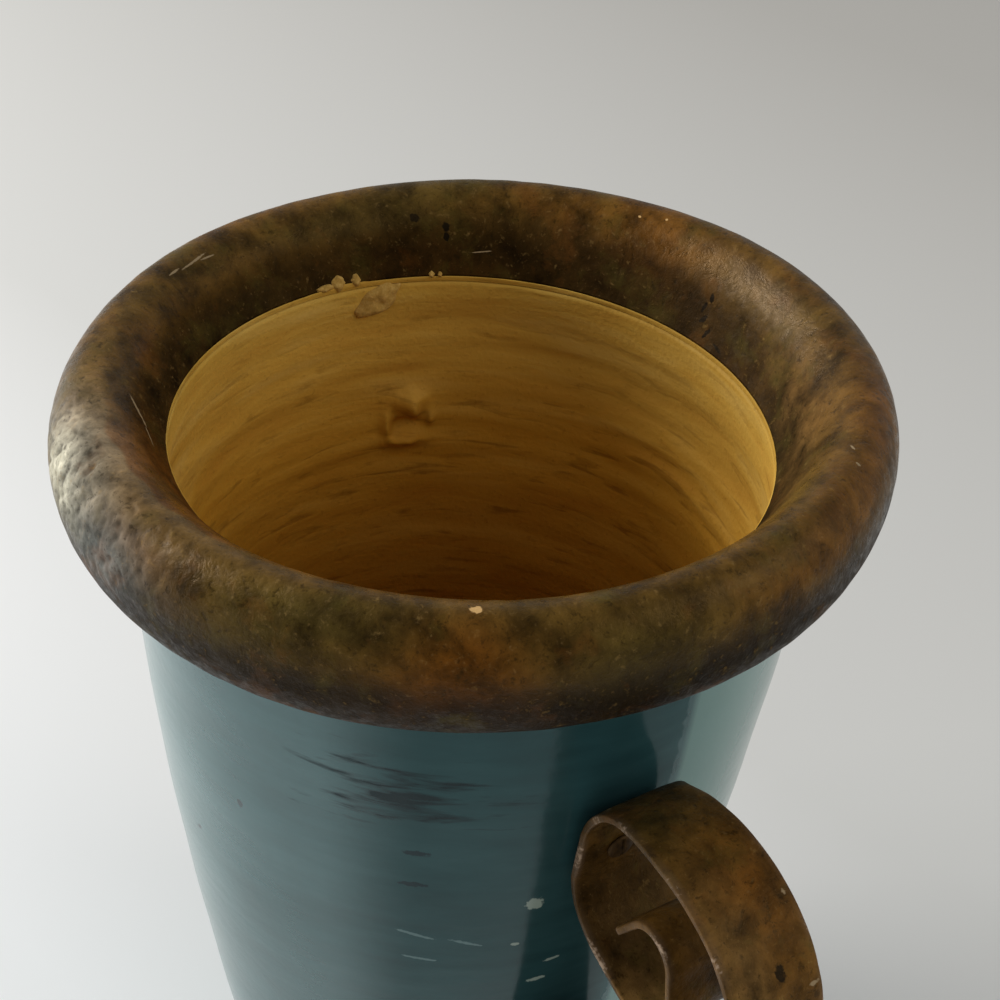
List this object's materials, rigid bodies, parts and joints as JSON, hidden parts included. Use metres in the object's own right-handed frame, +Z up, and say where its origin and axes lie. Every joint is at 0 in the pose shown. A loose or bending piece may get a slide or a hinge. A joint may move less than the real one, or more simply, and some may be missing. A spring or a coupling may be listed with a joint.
{
  "type": "ceramic planter",
  "caption": "Tapered ceramic planter with a thick rolled rim, a drain hole and flat-bar scroll handles screwed to its wall; holds soil and a plant.",
  "frame": {"origin": "centre of the foot ring on the ground", "axes": "+Z up along the pot's axis, +X through the right-hand handle, +Y square to both"},
  "size_m": [0.3338, 0.23, 0.28],
  "materials": {
    "teal_glaze": "semi-gloss teal glaze outside, ochre inside",
    "rust_patina": "mottled brown, olive and rust under a thin varnish",
    "ochre_filler": "matt ochre filler",
    "rusted_bar": "rust-brown patina with worn pale edges",
    "dull_steel": "dull, browned",
    "grey_plug": "plain moulded"
  },
  "bodies": {
    "root": {"pot_body": "teal_glaze", "rim_collar": "rust_patina", "rim_bedding": "ochre_filler", "handle_right": "rusted_bar", "handle_left": "rusted_bar", "handle_screw_right_upper": "dull_steel", "handle_screw_right_lower": "dull_steel", "handle_screw_left_upper": "dull_steel", "handle_screw_left_lower": "dull_steel", "wall_plug_right_upper": "grey_plug", "wall_plug_right_lower": "grey_plug", "wall_plug_left_upper": "grey_plug", "wall_plug_left_lower": "grey_plug"}
  },
  "joints": []
}
